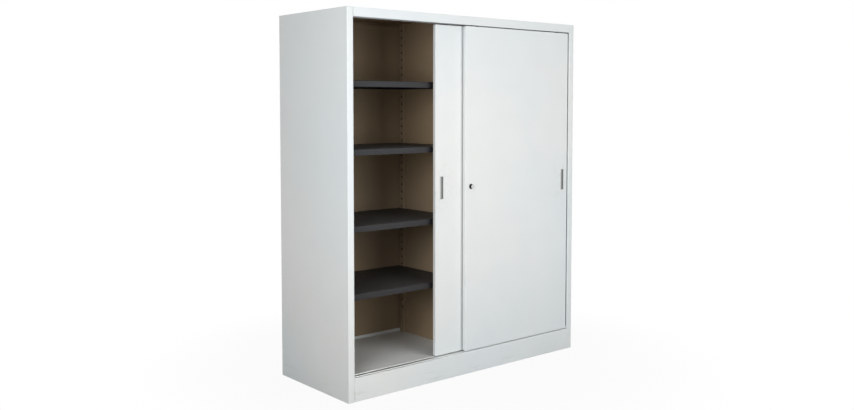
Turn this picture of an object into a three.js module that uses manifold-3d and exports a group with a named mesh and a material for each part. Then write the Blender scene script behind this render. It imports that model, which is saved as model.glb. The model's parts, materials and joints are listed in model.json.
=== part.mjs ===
// Steel cupboard with two sliding doors, a centre partition and eight shelves on slotted uprights.
// Millimetres, +Z up, the front faces -Y, and the origin is on the floor under the middle.

import * as THREE from 'three';
import { mergeVertices } from 'three/addons/utils/BufferGeometryUtils.js';
import Module from 'manifold-3d';

const wasm = await Module();
wasm.setup();

// Overall size
const width = 1600;
const height = 1900;
const depth = 620;

// Carcass sheet, its folds, and the clearances between pieces
const sheet = 1.25;
const foldRadius = 3;
const fit = 0.2;
const restGap = 0.3;
const overrun = 1;

// Front frame: box-section stiles, top rail and plinth
const stileWidth = 36;
const jambClearance = 5;
const closingSlit = 2;
const railHeight = 45;
const railLipGap = 3;
const plinthHeight = 117;
const plinthLip = 20;
const plinthReturn = 9;

// Rear edges, stepped forward so that the back panels lie in a recess
const rearReturn = 18;
const backRecess = 18;
const rearFlange = 16;
const backFold = 12;
const backCorner = 5;
const floorFold = 25;

// Doors
const doorRecess = 8;
const doorThickness = 20;
const doorGap = 9;
const doorOverlap = 80;
const doorSideGap = 4;
const doorSheet = 1;
const doorLip = 14;
const doorCorner = 6;
const doorLift = 1;
const doorTopGap = 4;
const leftDoorOpening = 537;
const stiffenerWidth = 90;
const stiffenerCrown = 50;
const stiffenerClearance = 2.6;
const stiffenerFold = 2;

// Tracks and the pieces that run in them
const trackSheet = 1;
const trackSide = 8;
const ribWidth = 4;
const ribHeight = 2.5;
const guideClearance = 0.8;
const topTrackWall = 1.5;
const guideWidth = 8;
const guideRun = 0.5;
const guideLength = 44;
const guideFoot = 3;
const guideFootWidth = 14;
const guideRise = 14;
const guideInset = 70;
const guideChamfer = 1.5;

// Rollers, their axles and carriers
const rollerInset = 96;
const grooveRadius = 10;
const grooveWidth = 4;
const grooveDepth = 2;
const flangeSlope = 1;
const flangeEdge = 0.6;
const rollerWidth = 8;
const rollerRoom = 1;
const axleRadius = 3;
const axleChamfer = 0.5;
const carrierLength = 46;
const carrierRoof = 5;
const carrierCorner = 7;

// Recessed pulls
const pullHeight = 1005;
const pullInset = 42;
const pullLength = 120;
const pullWidth = 24;
const pullRim = 2;
const pullWall = 1;
const pullDepth = 12;
const pullCorner = 3.5;
const pullProud = 1;
const pullClearance = 0.3;

// Push lock on the front door and its keeper on the rear door
const lockHeight = 1004;
const rosetteOverlap = 1.5;
const rosetteThickness = 2;
const rosetteChamfer = 0.8;
const barrelWall = 2.1;
const barrelSetback = 2;
const barrelEnd = 1.5;
const plungerRadius = 10;
const plungerProud = 10;
const plungerEdge = 0.8;
const plungerSlack = 0.4;
const boltRadius = 5;
const boltShort = 0.5;
const lockTravel = 8;
const lockStop = 0.5;
const coreWall = 2;
const coreDepth = 6;
const coreProud = 0.6;
const keywayLength = 8;
const keywayWidth = 1.6;
const keywayDepth = 4;
const keeperWidth = 26;
const keeperHeight = 44;
const keeperGap = 1.3;
const keeperCorner = 4;
const keeperSlack = 0.8;

// Door buffers on the jambs
const bufferRadius = 7;

// Partition, slotted uprights, clips and shelves
const partitionThickness = 24;
const partitionGap = 4;
const uprightWidth = 40;
const uprightGap = 4;
const uprightSetback = 2;
const stripDepth = 12;
const uprightFold = 2;
const slotPitch = 42;
const slotStart = 148;
const slotEnd = 22;
const slotHeight = 10;
const slotWidth = 12;
const clipWidth = 14;
const clipReach = 13;
const clipSheet = 2;
const clipDrop = 20;
const shelfSheet = 1;
const shelfEdge = 30;
const shelfLip = 12;
const shelfFold = 2;
const shelfCorner = 3;
const shelfEndGap = 1.5;
const shelfSetback = 18;
const shelfRearGap = 4;
const shelfLevelShares = [0.13, 0.34, 0.58, 0.79];

// Levelling feet and their brackets behind the plinths
const footSetback = 45;
const bracketGap = 8;
const padRadius = 18;
const padEdge = 4;
const padHeight = 6;
const stemRadius = 5;
const stemHeight = 55;
const stemChamfer = 1;
const nutRadius = 9;
const nutHeight = 8;
const bracketLevel = 30;
const bracketSheet = 2.5;
const bracketWidth = 54;
const bracketDepth = 72;
const bracketTab = 26;

// How finely curves are cut
const foldSteps = 2;
const trayEdgeSteps = 1;
const roundSteps = 12;
const ribSteps = 4;
const nutSides = 6;

// Places that follow from the sizes above
const innerWidth = width - 2 * stileWidth;
const doorWidth = (innerWidth - 2 * doorSideGap + doorOverlap) / 2;
const ceiling = height - sheet - fit;
const railEdge = height - railHeight;
const stripTop = plinthHeight + fit + trackSheet;
const railTop = stripTop + ribHeight;
const doorBottom = railTop + doorLift;
const doorTop = railEdge - doorTopGap;
const doorHeight = doorTop - doorBottom;
const rearDoorRecess = doorRecess + doorThickness + doorGap;
const jambDepth = rearDoorRecess + doorThickness + jambClearance;
const shelfFront = jambDepth + shelfSetback;
const frontDoorX = stileWidth + innerWidth - doorSideGap - doorWidth;
const closedRearDoorX = stileWidth + doorSideGap;
const rearDoorX = closedRearDoorX + leftDoorOpening;
const lockX = frontDoorX + doorOverlap / 2;
const backPlane = depth - backRecess;
const floorBack = backPlane - sheet - foldRadius;
const rollerAxis = grooveRadius + restGap - doorLift;
const flangeRadius = grooveRadius + grooveDepth;
const insideDoor = doorSheet + fit;
const pastFold = foldRadius + fit;
const skinFace = sheet + fit;
const partitionFace = (width - partitionThickness) / 2;
const footInset = stileWidth + bracketGap + bracketWidth / 2;
const coreRadius = plungerRadius - coreWall;
const barrelRadius = plungerRadius + plungerSlack + barrelWall;
const barrelLength = doorThickness - barrelSetback;
const headEnd = barrelLength - barrelEnd - lockTravel - lockStop;
const bufferThickness = doorSideGap - fit - restGap;

// Small helpers

const shares = (count) => Array.from({ length: count + 1 }, (_, i) => i / count);
const between = (low, high) => high - low;
const rightOf = (way) => new THREE.Vector2(way.y, -way.x);

// A closed geometry as a solid that can be joined and cut
function solid(geometry) {
  const bare = geometry.clone();
  bare.deleteAttribute('normal');
  bare.deleteAttribute('uv');
  const welded = mergeVertices(bare);
  const mesh = new wasm.Mesh({
    numProp: 3,
    vertProperties: new Float32Array(welded.attributes.position.array),
    triVerts: new Uint32Array(welded.index.array),
  });
  return new wasm.Manifold(mesh);
}

// A joined or cut solid back as a geometry
function surface(body) {
  const mesh = body.getMesh();
  const geometry = new THREE.BufferGeometry();
  geometry.setAttribute('position', new THREE.BufferAttribute(mesh.vertProperties, mesh.numProp));
  geometry.setIndex(new THREE.BufferAttribute(mesh.triVerts, 1));
  return geometry;
}

const joined = (first, ...others) => others.reduce((body, other) => body.add(solid(other)), first);
const cut = (first, ...others) => others.reduce((body, other) => body.subtract(solid(other)), first);

// A box between two corners
function boxBetween(low, high) {
  const size = high.map((value, axis) => between(low[axis], value));
  const middle = high.map((value, axis) => (low[axis] + value) / 2);
  return new THREE.BoxGeometry(...size).translate(...middle);
}

// Outlines pushed along one axis, each drawn in the plane across it
function alongZ(outline, from, to) {
  const options = { depth: between(from, to), bevelEnabled: false, curveSegments: roundSteps };
  return new THREE.ExtrudeGeometry(outline, options).translate(0, 0, from);
}

function alongX(outline, from, to) {
  const turned = new THREE.Matrix4().makeBasis(
    new THREE.Vector3(0, 1, 0),
    new THREE.Vector3(0, 0, 1),
    new THREE.Vector3(1, 0, 0),
  );
  return alongZ(outline, 0, between(from, to)).applyMatrix4(turned).translate(from, 0, 0);
}

function alongY(outline, from, to) {
  const turned = new THREE.Matrix4().makeBasis(
    new THREE.Vector3(1, 0, 0),
    new THREE.Vector3(0, 0, 1),
    new THREE.Vector3(0, -1, 0),
  );
  return alongZ(outline, 0, between(from, to)).applyMatrix4(turned).translate(0, to, 0);
}

const points = (...pairs) => pairs.map(([x, y]) => new THREE.Vector2(x, y));

// A rod along Y between two depths
function rodAlongY(radius, from, to) {
  const rod = new THREE.CylinderGeometry(radius, radius, between(from, to), roundSteps);
  return rod.translate(0, (from + to) / 2, 0);
}

// A ring or a solid of revolution about Y, from its profile of radius and place
function turnedAboutY(profile) {
  return new THREE.LatheGeometry(points(...profile), roundSteps);
}

// The outline of a strip of sheet folded at each inner corner. The corners lie on the face that
// is on the left of the way along, and the metal lies on the right.
function foldedStrip(corners, metal, radius) {
  const face = [];
  const reverse = [];
  corners.forEach((corner, i) => {
    const arriving = i > 0 ? corner.clone().sub(corners[i - 1]).normalize() : null;
    const leaving = i < corners.length - 1 ? corners[i + 1].clone().sub(corner).normalize() : null;
    if (!arriving || !leaving) {
      const way = arriving || leaving;
      face.push(corner);
      reverse.push(corner.clone().addScaledVector(rightOf(way), metal));
      return;
    }
    const turn = Math.sign(leaving.dot(rightOf(arriving)));
    const angle = Math.acos(arriving.dot(leaving));
    const faceRadius = turn > 0 ? radius : radius - metal;
    const reverseRadius = turn > 0 ? radius - metal : radius;
    const start = corner.clone().addScaledVector(arriving, -faceRadius * Math.tan(angle / 2));
    const centre = start.clone().addScaledVector(rightOf(arriving), turn * faceRadius);
    shares(foldSteps).forEach((share) => {
      const spoke = rightOf(arriving).multiplyScalar(-turn);
      spoke.rotateAround(new THREE.Vector2(), -turn * angle * share);
      face.push(centre.clone().addScaledVector(spoke, faceRadius));
      reverse.push(centre.clone().addScaledVector(spoke, reverseRadius));
    });
  });
  return new THREE.Shape([...face, ...reverse.reverse()]);
}

// A rectangle with round corners as a loop of points at one level
function roundedLoop(long, wide, inset, radius, level, steps = foldSteps) {
  const near = inset + radius;
  const centres = [
    [long - near, near],
    [long - near, wide - near],
    [near, wide - near],
    [near, near],
  ];
  return centres.flatMap(([x, y], quarter) => shares(steps).map((share) => {
    const angle = (quarter - 1 + share) * Math.PI / 2;
    return new THREE.Vector3(x + radius * Math.cos(angle), y + radius * Math.sin(angle), level);
  }));
}

// A closed skin over loops of equal length, from the lowest to the highest
function loft(loops) {
  const count = loops[0].length;
  const position = loops.flat().flatMap((point) => point.toArray());
  const index = [];
  loops.slice(1).forEach((_, ring) => {
    for (let i = 0; i < count; i += 1) {
      const next = (i + 1) % count;
      const low = ring * count;
      const high = low + count;
      index.push(low + i, low + next, high + next);
      index.push(low + i, high + next, high + i);
    }
  });
  const top = (loops.length - 1) * count;
  for (let i = 1; i < count - 1; i += 1) {
    index.push(0, i + 1, i);
    index.push(top, top + i, top + i + 1);
  }
  const geometry = new THREE.BufferGeometry();
  geometry.setAttribute('position', new THREE.Float32BufferAttribute(position, 3));
  geometry.setIndex(index);
  return geometry;
}

function roundedBlock(long, wide, inset, radius, low, high) {
  return loft([low, high].map((level) => roundedLoop(long, wide, inset, radius, level)));
}

// A tray of folded sheet. Its face is at z = 0 with rounded edges all round, its walls go down,
// and its lips turn in at the bottom. A lip as wide as the metal is no lip.
function foldedTray(long, wide, deep, metal, lip, corner, radius, steps) {
  const loop = (inset, level) => roundedLoop(long, wide, inset, corner - inset, level, steps);
  const dish = (inset, bottom, face, edge) => loft([
    loop(inset, bottom),
    ...shares(steps).map((share) => {
      const angle = share * Math.PI / 2;
      const drawnIn = inset + edge * (1 - Math.cos(angle));
      return loop(drawnIn, face - edge * (1 - Math.sin(angle)));
    }),
  ]);
  const outside = dish(0, -deep, 0, radius);
  const hollow = dish(metal, metal - deep, -metal, radius - metal);
  const mouth = roundedBlock(long, wide, lip, corner - metal, -deep - overrun, -deep / 2);
  return cut(solid(outside), hollow, mouth);
}

// Finishes
const paint = () => new THREE.MeshStandardMaterial({ color: 0xdde1df, roughness: 0.45, metalness: 0 });
const darkPaint = () => new THREE.MeshStandardMaterial({ color: 0x2b2b2c, roughness: 0.55, metalness: 0 });
const innerPaint = () => new THREE.MeshStandardMaterial({ color: 0x4c4238, roughness: 0.6, metalness: 0 });
const satinSteel = () => new THREE.MeshStandardMaterial({ color: 0x8b8e8c, roughness: 0.35, metalness: 1 });
const zinc = () => new THREE.MeshStandardMaterial({ color: 0xa9abab, roughness: 0.4, metalness: 1 });
const aluminium = () => new THREE.MeshStandardMaterial({ color: 0xc9cccb, roughness: 0.35, metalness: 1 });
const chrome = () => new THREE.MeshStandardMaterial({ color: 0xe8e8e8, roughness: 0.1, metalness: 1 });
const nylon = () => new THREE.MeshStandardMaterial({ color: 0xd8d6cf, roughness: 0.5, metalness: 0 });
const blackPlastic = () => new THREE.MeshStandardMaterial({ color: 0x151515, roughness: 0.4, metalness: 0 });
const rubber = () => new THREE.MeshStandardMaterial({ color: 0x222222, roughness: 0.8, metalness: 0 });

// The scene: the cabinet group has its origin at the left, front, bottom corner
const part = new THREE.Group();
const cabinet = new THREE.Group();
cabinet.position.set(-width / 2, -depth / 2, 0);
part.add(cabinet);

function place(group, name, geometry, material, x = 0, y = 0, z = 0) {
  const mesh = new THREE.Mesh(geometry, material);
  mesh.name = name;
  mesh.position.set(x, y, z);
  group.add(mesh);
  return mesh;
}

// The same piece seen in a mirror across X
function mirrored(geometry) {
  const bare = geometry.clone().scale(-1, 1, 1);
  bare.deleteAttribute('normal');
  bare.deleteAttribute('uv');
  const flipped = mergeVertices(bare);
  const corners = Array.from(flipped.index.array);
  flipped.setIndex(corners.reverse());
  return flipped;
}

// Side panel: skin, box-section stile in front, stepped flange behind, all from one sheet
function sidePanel() {
  const corners = points(
    [sheet + closingSlit, jambDepth],
    [stileWidth, jambDepth],
    [stileWidth, 0],
    [0, 0],
    [0, depth],
    [rearReturn, depth],
    [rearReturn, backPlane],
    [rearReturn + rearFlange, backPlane],
  );
  return alongZ(foldedStrip(corners, sheet, foldRadius), 0, ceiling);
}

// Top: a plate over everything, the rail in front and a stepped flange behind
function topPanel() {
  const corners = points(
    [doorRecess - railLipGap, railEdge],
    [0, railEdge],
    [0, height],
    [depth, height],
    [depth, height - backRecess],
    [backPlane, height - backRecess],
    [backPlane, height - backRecess - rearFlange],
  );
  const profile = foldedStrip(corners, sheet, sheet + fit);
  const folded = alongX(profile, stileWidth + fit, width - stileWidth - fit);
  const plate = boxBetween([0, 0, height - sheet], [width, depth, height]);
  return surface(joined(solid(folded), plate));
}

// Floor of the cupboard, folded down in front and up behind, notched round the stiles
function floorPanel() {
  const front = plinthReturn + fit;
  const corners = points(
    [front, plinthHeight - floorFold],
    [front, plinthHeight],
    [backPlane - sheet, plinthHeight],
    [backPlane - sheet, plinthHeight + rearFlange],
  );
  const profile = foldedStrip(corners, sheet, foldRadius);
  const floor = alongX(profile, skinFace, width - skinFace);
  const notches = [0, width].map((edge) => boxBetween(
    [edge - stileWidth - fit, -overrun, plinthHeight - floorFold - overrun],
    [edge + stileWidth + fit, jambDepth + fit, plinthHeight + overrun],
  ));
  const rearNotches = [0, width].map((edge) => boxBetween(
    [edge - rearReturn - rearFlange - fit, floorBack, plinthHeight - overrun - sheet],
    [edge + rearReturn + rearFlange + fit, depth, plinthHeight + rearFlange + overrun],
  ));
  return surface(cut(solid(floor), ...notches, ...rearNotches));
}

// Brackets with a hole for the stem of a levelling foot, joined to the plinth that carries them
function withFootBrackets(plinth, skin, inward) {
  const middle = skin + inward * footSetback;
  const deepEnd = skin + inward * bracketDepth;
  const bite = skin + inward * sheet / 2;
  const tab = bite + inward * bracketSheet;
  return [footInset, width - footInset].reduce((body, x) => {
    const low = x - bracketWidth / 2;
    const high = x + bracketWidth / 2;
    const ends = [bite, deepEnd].sort((a, b) => a - b);
    const tabs = [bite, tab].sort((a, b) => a - b);
    const shelf = boxBetween([low, ends[0], bracketLevel], [high, ends[1], bracketLevel + bracketSheet]);
    const upright = boxBetween([low, tabs[0], bracketLevel], [high, tabs[1], bracketLevel + bracketTab]);
    const bore = stemRadius + restGap;
    const hole = new THREE.CylinderGeometry(bore, bore, bracketTab, roundSteps);
    hole.rotateX(Math.PI / 2).translate(x, middle, bracketLevel);
    return cut(joined(body, shelf, upright), hole);
  }, plinth);
}

function frontPlinth() {
  const corners = points(
    [plinthLip, 0],
    [0, 0],
    [0, plinthHeight],
    [plinthReturn, plinthHeight],
  );
  const profile = foldedStrip(corners, sheet, foldRadius);
  const folded = alongX(profile, stileWidth + fit, width - stileWidth - fit);
  return surface(withFootBrackets(solid(folded), 0, 1));
}

function rearPlinth() {
  const top = plinthHeight - backRecess;
  const corners = points(
    [backPlane + foldRadius, top],
    [depth, top],
    [depth, 0],
    [backPlane + foldRadius, 0],
  );
  const profile = foldedStrip(corners, sheet, foldRadius);
  const folded = alongX(profile, rearReturn + fit, width - rearReturn - fit);
  return surface(withFootBrackets(solid(folded), depth, -1));
}

// Back panel: a shallow tray, open to the rear, that lies in the recess behind the flanges
function backPanel() {
  const long = width / 2 - rearReturn - 2 * fit;
  const low = plinthHeight - backRecess + fit;
  const high = height - backRecess - fit;
  const wide = between(low, high);
  const steps = trayEdgeSteps;
  return surface(foldedTray(long, wide, backFold, sheet, sheet, backCorner, foldRadius, steps));
}

// Centre partition: two skins folded into one flat box, open at its top and bottom
function partition() {
  const front = jambDepth + partitionGap;
  const ring = (inset, radius) => roundedLoop(
    partitionThickness,
    between(front, floorBack),
    inset,
    radius,
    0,
  ).map((point) => new THREE.Vector2(point.x, point.y));
  const outline = new THREE.Shape(ring(0, foldRadius));
  outline.holes.push(new THREE.Path(ring(sheet, foldRadius - sheet)));
  return alongZ(outline, plinthHeight + fit, ceiling);
}

// Slotted upright: a channel with its web towards the shelf, a row of slots and four clips.
// Local X points from the wall that carries it to the shelf, and local Z starts at its foot.
const uprightLength = ceiling - plinthHeight - 2 * fit;
const slotCount = Math.floor((uprightLength - slotStart - slotEnd) / slotPitch) + 1;
const slotLevel = (slot) => slotStart + slot * slotPitch;
const shelfSlots = shelfLevelShares.map((share) => Math.round(share * (slotCount - 1)));

function upright(reach) {
  const corners = points(
    [0, uprightWidth / 2],
    [reach, uprightWidth / 2],
    [reach, -uprightWidth / 2],
    [0, -uprightWidth / 2],
  );
  const channel = solid(alongZ(foldedStrip(corners, sheet, uprightFold), 0, uprightLength));
  const slots = Array.from({ length: slotCount }, (_, slot) => boxBetween(
    [reach - sheet - overrun, -slotWidth / 2, slotLevel(slot) - slotHeight / 2],
    [reach + overrun, slotWidth / 2, slotLevel(slot) + slotHeight / 2],
  ));
  const clipOutline = points(
    [reach - sheet / 2, 0],
    [reach + clipReach, 0],
    [reach + clipReach, -clipSheet],
    [reach + clipSheet, -clipDrop],
    [reach - sheet / 2, -clipDrop],
  );
  const clip = alongY(new THREE.Shape(clipOutline), -clipWidth / 2, clipWidth / 2);
  const clips = shelfSlots.map((slot) => clip.clone().translate(0, 0, slotLevel(slot)));
  return surface(joined(cut(channel, ...slots), ...clips));
}

// Shelf: a tray with its face up and a deep folded edge all round
const sideReach = between(skinFace, stileWidth - uprightSetback);
const shelfStart = stileWidth - uprightSetback + shelfEndGap;
const shelfEnd = partitionFace - fit - stripDepth - shelfEndGap;
const shelfLevels = shelfSlots.map((slot) => plinthHeight + fit + slotLevel(slot) + fit + shelfEdge);

function shelf() {
  const deep = floorBack - shelfRearGap - shelfFront;
  const long = between(shelfStart, shelfEnd);
  const tray = foldedTray(long, deep, shelfEdge, shelfSheet, shelfLip, shelfCorner, shelfFold, trayEdgeSteps);
  return surface(tray);
}

// Bottom track: a strip on the floor with one rounded rib under the middle of each door
const trackMiddles = [doorRecess, rearDoorRecess].map((recess) => recess + doorThickness / 2);

function bottomTrack() {
  const [first, second] = trackMiddles;
  const rib = (middle) => shares(ribSteps).map((share) => {
    const angle = share * Math.PI;
    return new THREE.Vector2(
      middle + ribWidth / 2 * Math.cos(angle),
      trackSheet + ribHeight * Math.sin(angle),
    );
  });
  const outline = [
    ...points([first - trackSide, 0], [second + trackSide, 0], [second + trackSide, trackSheet]),
    ...rib(second),
    ...rib(first),
    ...points([first - trackSide, trackSheet]),
  ];
  return alongX(new THREE.Shape(outline), stileWidth + fit, width - stileWidth - fit);
}

// Top track: a web with two walls beside the tongue of each door's guides
function topTrack() {
  const low = doorTop + fit + guideFoot + guideClearance;
  const web = ceiling - topTrackWall;
  const half = guideWidth / 2 + guideRun;
  const outer = half + topTrackWall;
  const [first, second] = trackMiddles;
  const groove = (middle) => points(
    [middle + outer, low],
    [middle + half, low],
    [middle + half, web],
    [middle - half, web],
    [middle - half, low],
    [middle - outer, low],
  );
  const outline = [
    ...points([first - outer, ceiling], [second + outer, ceiling]),
    ...groove(second),
    ...points([second - outer, web], [first + outer, web]),
    ...groove(first),
  ];
  return alongX(new THREE.Shape(outline), stileWidth + fit, width - stileWidth - fit);
}

// Levelling foot: a round pad, a hexagon to turn it by and a stem that passes the bracket
function levellingFoot() {
  const profile = [
    [0, 0],
    [padRadius, 0],
    [padRadius, padEdge],
    [stemRadius, padHeight],
    [stemRadius, stemHeight - stemChamfer],
    [stemRadius - stemChamfer, stemHeight],
    [0, stemHeight],
  ];
  const turned = turnedAboutY(profile).rotateX(Math.PI / 2);
  const nut = new THREE.CylinderGeometry(nutRadius, nutRadius, nutHeight, nutSides);
  nut.rotateX(Math.PI / 2).translate(0, 0, padHeight + nutHeight / 2);
  return surface(joined(solid(turned), nut));
}

// Door skin: a tray with its face to the front. Local X runs along the door, Y into the
// cupboard and Z up, from the lower left corner of its face.
function doorPan(pullX, lockPlace) {
  const sizes = [doorWidth, doorHeight, doorThickness, doorSheet, doorLip, doorCorner, foldRadius];
  const face = foldedTray(...sizes, foldSteps);
  const pan = solid(surface(face).rotateX(Math.PI / 2));
  const middle = doorThickness / 2;
  const slotHalf = flangeRadius + rollerRoom;
  const rollerSlots = [rollerInset, doorWidth - rollerInset].map((x) => boxBetween(
    [x - slotHalf, middle - rollerWidth / 2 - rollerRoom, -overrun],
    [x + slotHalf, middle + rollerWidth / 2 + rollerRoom, doorSheet + overrun],
  ));
  const pullHole = pullOutline(pullRim - pullClearance, -overrun, doorSheet + overrun);
  pullHole.translate(pullX - pullWidth / 2, 0, pullHeight - doorBottom - pullLength / 2);
  const lockHoles = lockPlace.map((x) => rodAlongY(barrelRadius + fit, -overrun, doorSheet + overrun)
    .translate(x, 0, lockHeight - doorBottom));
  return surface(cut(pan, ...rollerSlots, pullHole, ...lockHoles));
}

// The pull's rounded outline between two depths, drawn in from its rim
function pullOutline(inset, from, to) {
  const block = roundedBlock(pullWidth, pullLength, inset, pullCorner - inset, -to, -from);
  return block.rotateX(Math.PI / 2);
}

// Recessed pull: a thin rim on the door's face round a cup for the fingers
function pull() {
  const cup = pullRim + pullWall;
  const rim = pullOutline(0, -fit - pullProud, -fit);
  const walls = pullOutline(pullRim, -fit - pullProud / 2, pullDepth);
  const pocket = pullOutline(cup, -fit - pullProud - overrun, pullDepth - pullWall);
  return surface(cut(joined(solid(rim), walls), pocket));
}

// Hat-section stiffener up the middle of a door, welded to the inside of its face
function doorStiffener() {
  const flange = insideDoor + doorSheet;
  const crown = doorThickness - insideDoor - stiffenerClearance;
  const corners = points(
    [-stiffenerWidth / 2, flange],
    [-stiffenerCrown / 2, flange],
    [-stiffenerCrown / 2, crown],
    [stiffenerCrown / 2, crown],
    [stiffenerCrown / 2, flange],
    [stiffenerWidth / 2, flange],
  );
  return alongZ(foldedStrip(corners, doorSheet, stiffenerFold), pastFold, doorHeight - pastFold);
}

// Guide on the door's top edge: a foot and a tongue that runs in the top track
function doorGuide() {
  const foot = guideFootWidth / 2;
  const tongue = guideWidth / 2;
  const top = guideFoot + guideRise;
  const outline = points(
    [-foot, 0],
    [foot, 0],
    [foot, guideFoot],
    [tongue, guideFoot],
    [tongue, top - guideChamfer],
    [tongue - guideChamfer, top],
    [guideChamfer - tongue, top],
    [-tongue, top - guideChamfer],
    [-tongue, guideFoot],
    [-foot, guideFoot],
  );
  return alongX(new THREE.Shape(outline), -guideLength / 2, guideLength / 2);
}

// Roller with a groove that rides on the rib of the bottom track
function roller() {
  const half = rollerWidth / 2;
  const bore = axleRadius + restGap;
  const shoulder = grooveWidth / 2 + flangeSlope;
  const profile = [
    [bore, -half],
    [flangeRadius - flangeEdge, -half],
    [flangeRadius, flangeEdge - half],
    [flangeRadius, -shoulder],
    [grooveRadius, -grooveWidth / 2],
    [grooveRadius, grooveWidth / 2],
    [flangeRadius, shoulder],
    [flangeRadius, half - flangeEdge],
    [flangeRadius - flangeEdge, half],
    [bore, half],
    [bore, -half],
  ];
  return turnedAboutY(profile);
}

// Axle pin from cheek to cheek of the carrier
function axle() {
  const half = doorThickness / 2 - insideDoor - fit;
  const profile = [
    [0, -half],
    [axleRadius - axleChamfer, -half],
    [axleRadius, axleChamfer - half],
    [axleRadius, half - axleChamfer],
    [axleRadius - axleChamfer, half],
    [0, half],
  ];
  return turnedAboutY(profile);
}

// Roller carrier: a moulded block between the door's face and lip, open below for the roller
function rollerCarrier() {
  const top = rollerAxis + flangeRadius + rollerRoom + carrierRoof;
  const block = boxBetween(
    [-carrierLength / 2, insideDoor, pastFold],
    [carrierLength / 2, doorThickness - insideDoor, top],
  );
  const middle = doorThickness / 2;
  const well = boxBetween(
    [-flangeRadius - rollerRoom, middle - rollerWidth / 2 - rollerRoom / 2, insideDoor - overrun],
    [flangeRadius + rollerRoom, middle + rollerWidth / 2 + rollerRoom / 2, top - carrierRoof],
  );
  const hole = rodAlongY(axleRadius + fit, 0, doorThickness).translate(0, 0, rollerAxis);
  const corners = [-1, 1].map((side) => {
    const edge = side * carrierLength / 2;
    const outline = points(
      [edge + side * overrun, top - carrierCorner - overrun],
      [edge + side * overrun, top + overrun],
      [edge - side * (carrierCorner + overrun), top + overrun],
    );
    return alongY(new THREE.Shape(outline), 0, doorThickness);
  });
  return surface(cut(solid(block), well, hole, ...corners));
}

// Lock housing: a rosette on the door's face and a barrel behind it with an open end wall
function lockHousing() {
  const bore = plungerRadius + plungerSlack;
  const boltHole = boltRadius + plungerSlack;
  const front = -fit - rosetteThickness;
  const rim = barrelRadius + rosetteOverlap;
  const profile = [
    [bore, front],
    [rim - rosetteChamfer, front],
    [rim, front + rosetteChamfer],
    [rim, -fit],
    [barrelRadius, -fit],
    [barrelRadius, barrelLength],
    [boltHole, barrelLength],
    [boltHole, barrelLength - barrelEnd],
    [bore, barrelLength - barrelEnd],
    [bore, front],
  ];
  return turnedAboutY(profile);
}

// Plunger: the head that is pushed in, with a socket for the core, and the bolt behind it
const plungerFace = -fit - rosetteThickness - plungerProud;

function lockPlunger() {
  const socket = coreRadius + restGap;
  const floor = plungerFace + coreDepth + restGap;
  const profile = [
    [0, floor],
    [socket, floor],
    [socket, plungerFace],
    [plungerRadius - plungerEdge, plungerFace],
    [plungerRadius, plungerFace + plungerEdge],
    [plungerRadius, headEnd],
    [boltRadius, headEnd],
    [boltRadius, doorThickness - boltShort],
    [0, doorThickness - boltShort],
  ];
  return turnedAboutY(profile);
}

// Core: the disc that the key turns, with its keyway
function lockCore() {
  const face = plungerFace - coreProud;
  const disc = rodAlongY(coreRadius, face, plungerFace + coreDepth);
  const keyway = boxBetween(
    [-keywayWidth / 2, face - overrun, -keywayLength / 2],
    [keywayWidth / 2, face + keywayDepth, keywayLength / 2],
  );
  return surface(cut(solid(disc), keyway));
}

// Keeper on the rear door, a block with the hole that the bolt enters when both doors are shut
function lockKeeper() {
  const block = roundedBlock(keeperWidth, keeperHeight, 0, keeperCorner, fit, doorGap - keeperGap);
  block.rotateX(Math.PI / 2).translate(-keeperWidth / 2, 0, -keeperHeight / 2);
  const bore = rodAlongY(boltRadius + keeperSlack, -doorGap, overrun);
  return surface(cut(solid(block), bore));
}

// Buffer: a rubber disc on the jamb where a closed door comes to rest
function buffer() {
  const disc = new THREE.CylinderGeometry(bufferRadius, bufferRadius, bufferThickness, roundSteps);
  return disc.rotateZ(Math.PI / 2);
}

// Carcass
const side = sidePanel();
place(cabinet, 'side_panel_left', side, paint());
place(cabinet, 'side_panel_right', mirrored(side), paint(), width);
place(cabinet, 'top_panel', topPanel(), paint());
place(cabinet, 'floor_panel', floorPanel(), paint());
place(cabinet, 'plinth_front', frontPlinth(), paint());
place(cabinet, 'plinth_rear', rearPlinth(), paint());
place(cabinet, 'centre_partition', partition(), innerPaint(), partitionFace, jambDepth + partitionGap);
place(cabinet, 'top_track', topTrack(), zinc());
place(cabinet, 'bottom_track', bottomTrack(), aluminium(), 0, 0, plinthHeight + fit);

const back = backPanel();
[['left', rearReturn + fit], ['right', width / 2 + fit]].forEach(([name, x]) => {
  const piece = place(cabinet, `back_panel_${name}`, back, innerPaint(), x, backPlane + fit);
  piece.position.z = plinthHeight - backRecess + fit;
  piece.rotation.x = Math.PI / 2;
});

// Uprights, each pair in line at the two ends of the shelves
const uprightRows = [
  ['front', jambDepth + uprightGap + uprightWidth / 2],
  ['rear', floorBack - uprightGap - uprightWidth / 2],
];
const sideUpright = upright(sideReach);
const stripUpright = upright(stripDepth);
const uprightColumns = [
  ['left_side', sideUpright, skinFace, 0],
  ['left_centre', stripUpright, partitionFace - fit, Math.PI],
  ['right_centre', stripUpright, partitionFace + partitionThickness + fit, 0],
  ['right_side', sideUpright, width - skinFace, Math.PI],
];
uprightColumns.forEach(([column, geometry, x, turn]) => {
  uprightRows.forEach(([row, y]) => {
    const piece = place(cabinet, `upright_${column}_${row}`, geometry, innerPaint(), x, y);
    piece.position.z = plinthHeight + fit;
    piece.rotation.z = turn;
  });
});

// Shelves, numbered from the bottom
const shelfShape = shelf();
[['left', shelfStart], ['right', width - shelfEnd]].forEach(([bay, x]) => {
  shelfLevels.forEach((level, i) => {
    place(cabinet, `shelf_${bay}_${i + 1}`, shelfShape, darkPaint(), x, shelfFront, level);
  });
});

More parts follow.
